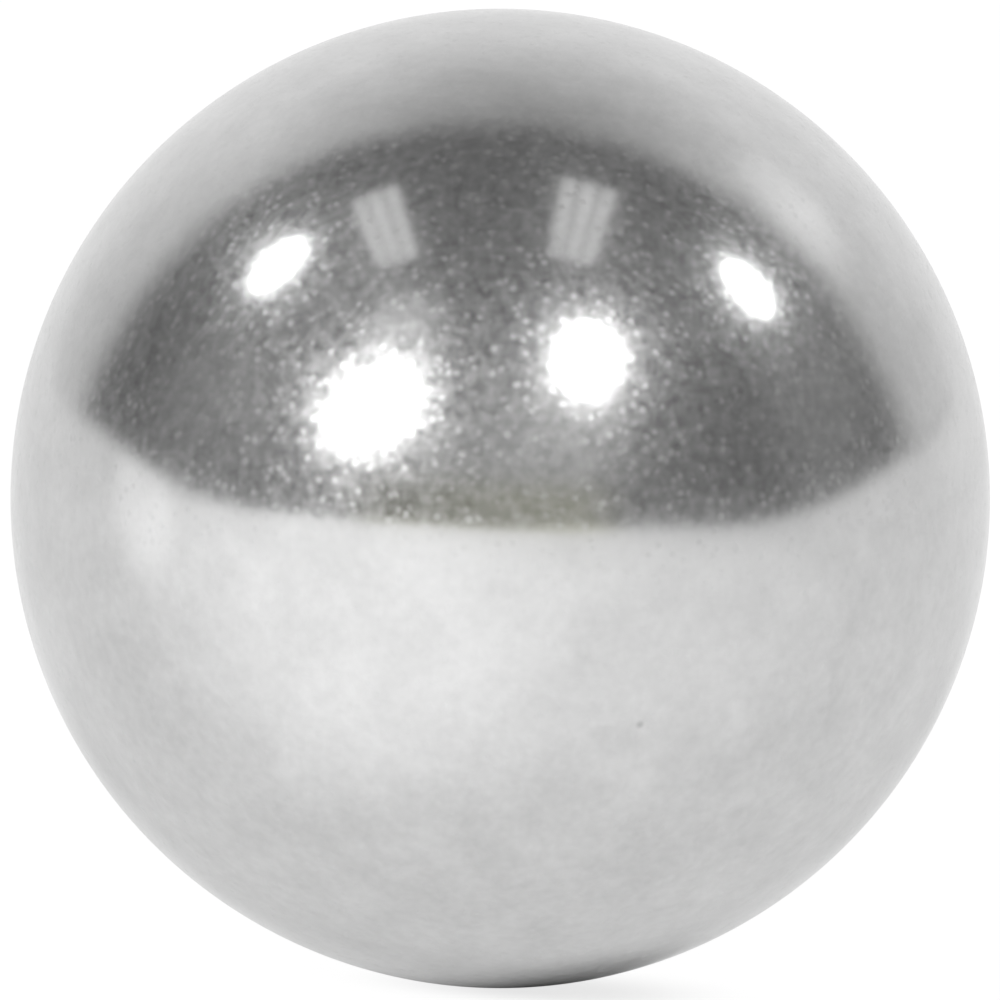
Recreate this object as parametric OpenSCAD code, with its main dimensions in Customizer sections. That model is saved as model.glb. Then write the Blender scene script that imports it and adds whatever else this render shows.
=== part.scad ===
// Solid steel ball, ground and lapped all over to one true sphere.
// Millimetres, +Z up, with the origin at the centre of the ball.

/* [Ball] */
// Diameter of the ball; 25.4 is the stock one inch size
ball_d = 25.4; // [3:0.1:100]

/* [Hidden] */
// Facets round the equator when the ball is drawn as a mesh
$fn = 180;
// Bare polished steel
steel_grey = [0.72, 0.73, 0.74];

// The whole ball is one solid: no flat, bore, seam or core
module ball() {
    color(steel_grey)
        sphere(d = ball_d);
}

ball();
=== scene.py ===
"""A polished steel ball on a pale studio floor. Metres, +Z up, the ball's centre at the origin."""
import math
from collections import namedtuple

import bpy
from mathutils import Matrix, Vector


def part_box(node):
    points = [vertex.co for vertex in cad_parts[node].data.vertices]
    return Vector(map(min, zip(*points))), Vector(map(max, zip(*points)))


# Where the photograph shows the ball, in pixels of its square frame
FRAME_PX = 1000
BALL_CENTRE_PX = (500.2, 498.4)
BALL_RADIUS_PX = 489.8

# Camera, looking along +Y and a little down
CAMERA_DISTANCE = 0.51
CAMERA_ELEVATION = 5
CAMERA_ROLL = 3
SENSOR_MM = 36

# Skin of the ball: even faces, small enough for a mirror finish
SKIN_VOXEL = 0.00026

# Steel: polish, and the scale of its marks in metres. Pits too fine to see one by one are duller than the
# polish; the grain sets how much of the skin they take, and sparks are spots with more of them
STEEL_GREY = 0.60
POLISH_ROUGHNESS = 0.115
PIT_ROUGHNESS = 0.48
PIT_SHARE = (0.23, 0.62)
GRAIN_LENGTH = 0.00034
GRAIN_DETAIL = 1.0
GRAIN_RANGE = (0.25, 0.75)
GRAIN_CONTRAST = 0.07
SPARK_LENGTH = 0.00034
SPARK_RADII = (0.10, 0.42)
SPARK_SHARE = 0.40
CLOUD_LENGTH = 0.0015
CLOUD_DETAIL = 3.0
CLOUD_CONTRAST = 0.12

# Nick in the surface, a small spot where the steel's colour is darker
NICK_PX = (637, 720)
NICK_RADIUS = 0.00016
NICK_DARKENING = 0.25

# Floor, whose white is in part its own. Each pair of shares is at the ball's foot and away from it. The
# painted pools of light on the floor are placed as seen from the mirror point, low on the ball's front
FLOOR_RADIUS = 0.5
FLOOR_CENTRE = (0.12, 0.15)
FLOOR_CORNERS = 96
FLOOR_WHITE = 0.95
OWN_STRENGTH = 1.03
SEEN_SHARE = (0.75, 0.95)
MIRRORED_SHARE = (0.0, 0.5)
FOOT_OFFSET = (0.002, 0.0)
FOOT_RADII = (0.001, 0.006)
MIRROR_POINT = (-0.0015, -0.0105, -0.0042)

# Room round the ball, in degrees. Azimuth 0 faces the camera and grows to the right; radiance 1 is white.
# Backdrop sides and right side are given by how far a unit ray reaches sideways
ROOM_RADIANCE = 0.15
BACKDROP_RADIANCE = 0.97
BACKDROP_AZIMUTH = 176.6
BACKDROP_ELEVATION = 14.5
BACKDROP_HALF_ANGLE = 62.5
BACKDROP_BLUR = (5, 8)
BACKDROP_SIDES = (0.40, 0.85)
BACKDROP_SIDE_LEVEL = 0.70
BACKDROP_FADE = (36, 101)
HORIZON_BLUR = 1.8
HORIZON_LIFT = (4.8, -2)
HORIZON_AZIMUTH = 179
HORIZON_LIFT_SIDES = (63, 125)
RIGHT_SIDE = (-0.1, 0.7)
RIGHT_LIFT = 1.9
TINT_AZIMUTH = -4
TINT_SIDES = (22, 36)
TINT_TOP = (3, 12)
TINT = (1.0, 1.0, 0.75, 1.0)
WHITE = (1.0, 1.0, 1.0, 1.0)

# Soft bright patches in the room, and pools of light painted on the floor, which fall off from an inner to
# an outer radius in degrees. The streak lies across the edge of the floor and ends at the horizon; on the
# floor it is painted light
Patch = namedtuple("Patch", "azimuth elevation inner outer radiance")
PATCHES = (
    Patch(126, 39, 3, 14, 0.36),
    Patch(-32, 43, 2, 14, 0.46),
    Patch(14, 16, 4, 24, 0.26),
    Patch(-5, 13, 3, 20, 0.14),
    Patch(-55, 54, 4, 15, 0.09),
    Patch(-75, 20, 4, 25, 0.12),
    Patch(86, 22, 4, 25, 0.11),
)
PAINTED_POOLS = (
    Patch(-34, -17, 20, 74, 0.38),
    Patch(42, -22, 15, 55, 0.13),
)
STREAK = Patch(-93, -1, 5, 13, 0.34)

# Lamps, in degrees: where they stand, half their width and height as the ball sees them, and their tilt
Lamp = namedtuple("Lamp", "name azimuth elevation half_width half_height tilt radiance")
LAMP_DISTANCE = 5
LAMPS = (
    Lamp("left_lamp", -83, 43.5, 3.4, 5.6, 0, 18),
    Lamp("right_lamp", 84, 43.5, 3.5, 5.4, 0, 17),
    Lamp("front_left_lamp", -33.5, 23, 10.3, 6.2, 41, 26.5),
    Lamp("front_right_lamp", 22.5, 37.5, 7.6, 5.7, 60, 23),
)

# Ceiling panels, each of a few bright bars that run front to back
CEILING_HEIGHT = 2.0
PANEL_WIDTH = 0.40
PANEL_LENGTH = 0.88
PANEL_BARS = 3
PANEL_BAR_SHARE = 0.75
PANEL_RADIANCE = 0.95
PANEL_CENTRES = ((-0.95, -0.50), (0.46, -0.52))

# Axes of the room: right as the camera sees it, and up
RIGHT = (1, 0, 0)
UP = (0, 0, 1)

# Inputs of the node that maps a value from one range to another
RANGE_INPUTS = ("Value", "From Min", "From Max", "To Min", "To Max")


class Shader:
    """Adds nodes to one emptied shader tree. Most methods return the socket that holds their result."""

    def __init__(self, tree):
        self.tree = tree
        tree.nodes.clear()

    def add(self, kind, **settings):
        node = self.tree.nodes.new(kind)
        for name, value in settings.items():
            setattr(node, name, value)
        return node

    def feed(self, socket, value):
        """Links another socket to an input, or sets a plain value on it."""
        if isinstance(value, bpy.types.NodeSocket):
            self.tree.links.new(value, socket)
        else:
            socket.default_value = value

    def math(self, operation, *values):
        node = self.add("ShaderNodeMath", operation=operation)
        for socket, value in zip(node.inputs, values):
            self.feed(socket, value)
        return node.outputs[0]

    def sum(self, values):
        total = 0.0
        for value in values:
            total = self.math("ADD", total, value)
        return total

    def vectors(self, operation, *vectors):
        """Outputs of one operation on vectors, named Vector and Value."""
        node = self.add("ShaderNodeVectorMath", operation=operation)
        for socket, vector in zip(node.inputs, vectors):
            self.feed(socket, vector)
        return node.outputs

    def dot(self, vector, axis):
        return self.vectors("DOT_PRODUCT", vector, axis)["Value"]

    def distance(self, vector, place):
        return self.vectors("DISTANCE", vector, place)["Value"]

    def direction(self, place, start):
        """Unit vector from a start to a place."""
        span = self.vectors("SUBTRACT", place, start)["Vector"]
        return self.vectors("NORMALIZE", span)["Vector"]

    def change(self, shape, *values):
        """Maps a value from one range to another, and holds it at both ends."""
        node = self.add("ShaderNodeMapRange", interpolation_type=shape)
        for name, value in zip(RANGE_INPUTS, values):
            self.feed(node.inputs[name], value)
        return node.outputs["Result"]

    def ramp(self, value, start, end, low=0.0, high=1.0):
        """Low up to start, high from end on, and a smooth change between them."""
        return self.change("SMOOTHSTEP", value, start, end, low, high)

    def line(self, value, start, end, low, high):
        """Low up to start, high from end on, and a straight change between them."""
        return self.change("LINEAR", value, start, end, low, high)

    def degrees(self, angle):
        return self.math("DEGREES", angle)

    def turn(self, ray, azimuth):
        """Degrees that a ray points to either side of an azimuth."""
        along = self.dot(ray, towards(azimuth, 0))
        across = self.dot(ray, towards(azimuth + 90, 0))
        return self.math("ABSOLUTE", self.degrees(self.math("ARCTAN2", across, along)))

    def off(self, ray, azimuth, elevation):
        """Degrees between a ray and a direction."""
        return self.degrees(self.math("ARCCOSINE", self.dot(ray, towards(azimuth, elevation))))

    def glow(self, ray, patch):
        off = self.off(ray, patch.azimuth, patch.elevation)
        return self.ramp(off, patch.inner, patch.outer, patch.radiance, 0.0)

    def noise(self, vector, length, detail):
        node = self.add("ShaderNodeTexNoise")
        self.feed(node.inputs["Vector"], vector)
        self.feed(node.inputs["Scale"], 1 / length)
        self.feed(node.inputs["Detail"], detail)
        return node.outputs["Fac"]

    def spots(self, vector, length):
        """Distance to the nearest of many scattered points, in units of a length."""
        node = self.add("ShaderNodeTexVoronoi")
        self.feed(node.inputs["Vector"], vector)
        self.feed(node.inputs["Scale"], 1 / length)
        return node.outputs["Distance"]

    def mix(self, share, first, second):
        """Colour that goes from first to second as share goes from 0 to 1."""
        node = self.add("ShaderNodeMix", data_type="RGBA")
        self.feed(node.inputs["Factor"], share)
        self.feed(node.inputs["A"], first)
        self.feed(node.inputs["B"], second)
        return node.outputs["Result"]


def towards(azimuth, elevation):
    """Unit vector from the ball's centre, by angles in degrees."""
    turn = math.radians(azimuth)
    rise = math.radians(elevation)
    return Vector((math.cos(rise) * math.sin(turn), -math.cos(rise) * math.cos(turn), math.sin(rise)))


def contrast(shader, value, amount):
    """Brightness that goes from amount below 1 to amount above it, as value goes from 0 to 1."""
    return shader.line(value, 0.0, 1.0, 1 - amount, 1 + amount)


def pitted_roughness(shader, place, grain):
    """Polish, and pits of every dullness over a share of the skin. Chance picks where each pit is."""
    chance = shader.add("ShaderNodeTexWhiteNoise")
    shader.feed(chance.inputs["Vector"], place)
    even = shader.line(grain, *GRAIN_RANGE, *PIT_SHARE)
    spark = shader.ramp(shader.spots(place, SPARK_LENGTH), *SPARK_RADII, SPARK_SHARE, 0.0)
    share = shader.math("ADD", even, spark)
    return shader.line(chance.outputs["Value"], 0.0, share, PIT_ROUGHNESS, POLISH_ROUGHNESS)


def polished_steel(nick_place):
    """Lapped bearing steel: a mirror with a haze of pits, a soft grain, faint cloud and one nick."""
    steel = bpy.data.materials.new("polished_steel")
    steel.use_nodes = True
    shader = Shader(steel.node_tree)
    place = shader.add("ShaderNodeTexCoord").outputs["Object"]
    grain = shader.noise(place, GRAIN_LENGTH, GRAIN_DETAIL)
    cloud = shader.noise(place, CLOUD_LENGTH, CLOUD_DETAIL)

    grain_tone = contrast(shader, grain, GRAIN_CONTRAST)
    cloud_tone = contrast(shader, cloud, CLOUD_CONTRAST)
    nick_tone = shader.ramp(shader.distance(place, nick_place), 0.0, NICK_RADIUS, 1 - NICK_DARKENING, 1.0)
    tone = shader.math("MULTIPLY", nick_tone, shader.math("MULTIPLY", grain_tone, cloud_tone))

    surface = shader.add("ShaderNodeBsdfPrincipled")
    surface.inputs["Metallic"].default_value = 1.0
    shader.feed(surface.inputs["Base Color"], shader.math("MULTIPLY", tone, STEEL_GREY))
    shader.feed(surface.inputs["Roughness"], pitted_roughness(shader, place, grain))
    output = shader.add("ShaderNodeOutputMaterial")
    shader.feed(output.inputs["Surface"], surface.outputs["BSDF"])
    return steel


def smooth_skin(ball, radius):
    """Rebuilds the ball's facets as even small faces, all on the true sphere."""
    faces = ball.modifiers.new("even_faces", "REMESH")
    faces.mode = "VOXEL"
    faces.voxel_size = SKIN_VOXEL
    faces.use_smooth_shade = True
    sphere = ball.modifiers.new("true_sphere", "CAST")
    sphere.cast_type = "SPHERE"
    sphere.factor = 1.0
    sphere.use_radius_as_size = False
    sphere.size = radius


def own_share(shader, place, foot):
    """How much of the floor's white is its own, as the camera, metal and glass see it."""
    path = shader.add("ShaderNodeLightPath").outputs
    from_foot = shader.distance(place, foot)
    seen = shader.math("MULTIPLY", path["Is Camera Ray"], shader.ramp(from_foot, *FOOT_RADII, *SEEN_SHARE))
    mirror = shader.math("MAXIMUM", path["Is Glossy Ray"], path["Is Transmission Ray"])
    mirrored = shader.math("MULTIPLY", mirror, shader.ramp(from_foot, *FOOT_RADII, *MIRRORED_SHARE))
    return shader.math("MAXIMUM", seen, mirrored)


def white_floor(foot):
    """Matte white that takes the ball's shadow. The white of its own has painted pools of light in it."""
    paint = bpy.data.materials.new("white_floor")
    paint.use_nodes = True
    shader = Shader(paint.node_tree)
    lit = shader.add("ShaderNodeBsdfDiffuse")
    lit.inputs["Color"].default_value = (FLOOR_WHITE, FLOOR_WHITE, FLOOR_WHITE, 1.0)

    place = shader.add("ShaderNodeNewGeometry").outputs["Position"]
    ray = shader.direction(place, MIRROR_POINT)
    # Painted light: pools of light and a streak painted into the floor's own white
    lift = shader.sum(shader.glow(ray, patch) for patch in (*PAINTED_POOLS, STREAK))
    # A mirror sees only its share of this white, so the painted pools are stronger by as much
    strength = shader.math("MULTIPLY_ADD", lift, 1 / MIRRORED_SHARE[1], OWN_STRENGTH)
    own = shader.add("ShaderNodeEmission")
    shader.feed(own.inputs["Strength"], strength)

    blend = shader.add("ShaderNodeMixShader")
    shader.feed(blend.inputs["Fac"], own_share(shader, place, foot))
    shader.feed(blend.inputs[1], lit.outputs["BSDF"])
    shader.feed(blend.inputs[2], own.outputs["Emission"])
    output = shader.add("ShaderNodeOutputMaterial")
    shader.feed(output.inputs["Surface"], blend.outputs["Shader"])
    return paint


def add_floor(height):
    place = (*FLOOR_CENTRE, height)
    bpy.ops.mesh.primitive_circle_add(
        vertices=FLOOR_CORNERS, radius=FLOOR_RADIUS, fill_type="NGON", location=place)
    floor = bpy.context.object
    floor.name = "floor"
    floor.data.materials.append(white_floor((*FOOT_OFFSET, height)))


def backdrop(shader, ray):
    """White behind the ball, from 0 to 1: a round field, softer and dimmer at its sides."""
    sideways = shader.math("ABSOLUTE", shader.dot(ray, RIGHT))
    blur = shader.ramp(sideways, *BACKDROP_SIDES, *BACKDROP_BLUR)
    off = shader.off(ray, BACKDROP_AZIMUTH, BACKDROP_ELEVATION)
    inside = shader.math("SUBTRACT", BACKDROP_HALF_ANGLE, off)
    side_level = shader.ramp(sideways, *BACKDROP_SIDES, 1.0, BACKDROP_SIDE_LEVEL)
    return shader.math("MULTIPLY", shader.ramp(shader.math("DIVIDE", inside, blur), -1.0, 1.0), side_level)


def far_floor(shader, ray, elevation):
    """White below the horizon, from 0 to 1. The horizon stands higher behind the ball and at the right."""
    back_lift = shader.ramp(shader.turn(ray, HORIZON_AZIMUTH), *HORIZON_LIFT_SIDES, *HORIZON_LIFT)
    right_lift = shader.ramp(shader.dot(ray, RIGHT), *RIGHT_SIDE, 0.0, RIGHT_LIFT)
    above = shader.math("SUBTRACT", elevation, shader.math("ADD", back_lift, right_lift))
    return shader.ramp(above, -HORIZON_BLUR, HORIZON_BLUR, 1.0, 0.0)


def room_colour(shader, ray, elevation):
    """White, but for a faint warm tint low in front of the ball."""
    tint_sides = shader.ramp(shader.turn(ray, TINT_AZIMUTH), *TINT_SIDES, 1.0, 0.0)
    tint = shader.math("MULTIPLY", tint_sides, shader.ramp(elevation, *TINT_TOP, 1.0, 0.0))
    return shader.mix(tint, WHITE, TINT)


def build_room():
    """World light: white below and behind the ball, fading upwards, and a dim room with soft patches."""
    world = bpy.data.worlds.new("room")
    world.use_nodes = True
    bpy.context.scene.world = world
    shader = Shader(world.node_tree)
    ray = shader.add("ShaderNodeTexCoord").outputs["Generated"]
    elevation = shader.degrees(shader.math("ARCSINE", shader.dot(ray, UP)))

    below = far_floor(shader, ray, elevation)
    white = shader.math("MAXIMUM", backdrop(shader, ray), below)
    fade = shader.line(elevation, *BACKDROP_FADE, BACKDROP_RADIANCE - ROOM_RADIANCE, -ROOM_RADIANCE)
    radiance = shader.math("MULTIPLY_ADD", white, fade, ROOM_RADIANCE)
    patches = [shader.glow(ray, patch) for patch in PATCHES]
    streak = shader.math("MULTIPLY", below, shader.glow(ray, STREAK))
    strength = shader.math("ADD", radiance, shader.sum([*patches, streak]))

    light = shader.add("ShaderNodeBackground")
    shader.feed(light.inputs["Color"], room_colour(shader, ray, elevation))
    shader.feed(light.inputs["Strength"], strength)
    output = shader.add("ShaderNodeOutputWorld")
    shader.feed(output.inputs["Surface"], light.outputs["Background"])


def add_light(name, shape, width, height, radiance, place, aim, tilt=0):
    """An area light of one even radiance, which faces aim and doesn't show to the camera."""
    data = bpy.data.lights.new(name, "AREA")
    data.shape = shape
    data.size = width
    data.size_y = height
    area = width * height
    if shape == "ELLIPSE":
        area *= math.pi / 4
    data.energy = radiance * math.pi * area
    light = bpy.data.objects.new(name, data)
    facing = (aim - place).to_track_quat("-Z", "Y").to_matrix().to_4x4()
    light.matrix_world = Matrix.Translation(place) @ facing @ Matrix.Rotation(math.radians(tilt), 4, "Z")
    light.visible_camera = False
    bpy.context.scene.collection.objects.link(light)


def add_lamps():
    centre = Vector((0, 0, 0))
    for lamp in LAMPS:
        place = towards(lamp.azimuth, lamp.elevation) * LAMP_DISTANCE
        width = 2 * LAMP_DISTANCE * math.tan(math.radians(lamp.half_width))
        height = 2 * LAMP_DISTANCE * math.tan(math.radians(lamp.half_height))
        add_light(lamp.name, "ELLIPSE", width, height, lamp.radiance, place, centre, lamp.tilt)


def add_ceiling_panels():
    pitch = PANEL_WIDTH / PANEL_BARS
    bar_width = pitch * PANEL_BAR_SHARE
    for panel, (x, y) in enumerate(PANEL_CENTRES):
        for bar in range(PANEL_BARS):
            offset = (bar - (PANEL_BARS - 1) / 2) * pitch
            place = Vector((x + offset, y, CEILING_HEIGHT))
            below = Vector((x + offset, y, 0))
            name = f"ceiling_bar_{panel}_{bar}"
            add_light(name, "RECTANGLE", bar_width, PANEL_LENGTH, PANEL_RADIANCE, place, below)


def add_camera(radius):
    """Frames the ball where the photograph has it."""
    data = bpy.data.cameras.new("camera")
    data.sensor_width = SENSOR_MM
    spread = math.sqrt((CAMERA_DISTANCE / radius) ** 2 - 1)
    data.lens = SENSOR_MM * BALL_RADIUS_PX / FRAME_PX * spread
    data.shift_x = (FRAME_PX / 2 - BALL_CENTRE_PX[0]) / FRAME_PX
    data.shift_y = (BALL_CENTRE_PX[1] - FRAME_PX / 2) / FRAME_PX
    camera = bpy.data.objects.new("camera", data)
    back = towards(0, CAMERA_ELEVATION)
    aim = (-back).to_track_quat("-Z", "Y").to_matrix().to_4x4()
    roll = Matrix.Rotation(math.radians(CAMERA_ROLL), 4, "Z")
    camera.matrix_world = Matrix.Translation(back * CAMERA_DISTANCE) @ aim @ roll
    bpy.context.scene.collection.objects.link(camera)
    bpy.context.scene.camera = camera
    return camera


def point_on_ball(pixel, camera, radius):
    """Where the ball shows at a pixel of the photograph."""
    right = (pixel[0] - BALL_CENTRE_PX[0]) / BALL_RADIUS_PX
    up = (BALL_CENTRE_PX[1] - pixel[1]) / BALL_RADIUS_PX
    near = math.sqrt(1 - right ** 2 - up ** 2)
    return camera.matrix_world.to_3x3() @ Vector((right, up, near)) * radius


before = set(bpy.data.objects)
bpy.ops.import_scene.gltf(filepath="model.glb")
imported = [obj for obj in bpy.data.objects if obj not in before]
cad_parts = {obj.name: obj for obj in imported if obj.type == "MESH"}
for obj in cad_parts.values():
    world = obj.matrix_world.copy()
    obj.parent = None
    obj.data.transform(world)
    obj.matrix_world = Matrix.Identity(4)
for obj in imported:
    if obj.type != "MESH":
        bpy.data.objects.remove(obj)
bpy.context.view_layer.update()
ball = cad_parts["ball"]
ball_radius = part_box("ball")[1].z

camera = add_camera(ball_radius)
smooth_skin(ball, ball_radius)
ball.material_slots[0].material = polished_steel(point_on_ball(NICK_PX, camera, ball_radius))
add_floor(-ball_radius)
build_room()
add_lamps()
add_ceiling_panels()
bpy.context.scene.view_settings.view_transform = "Standard"
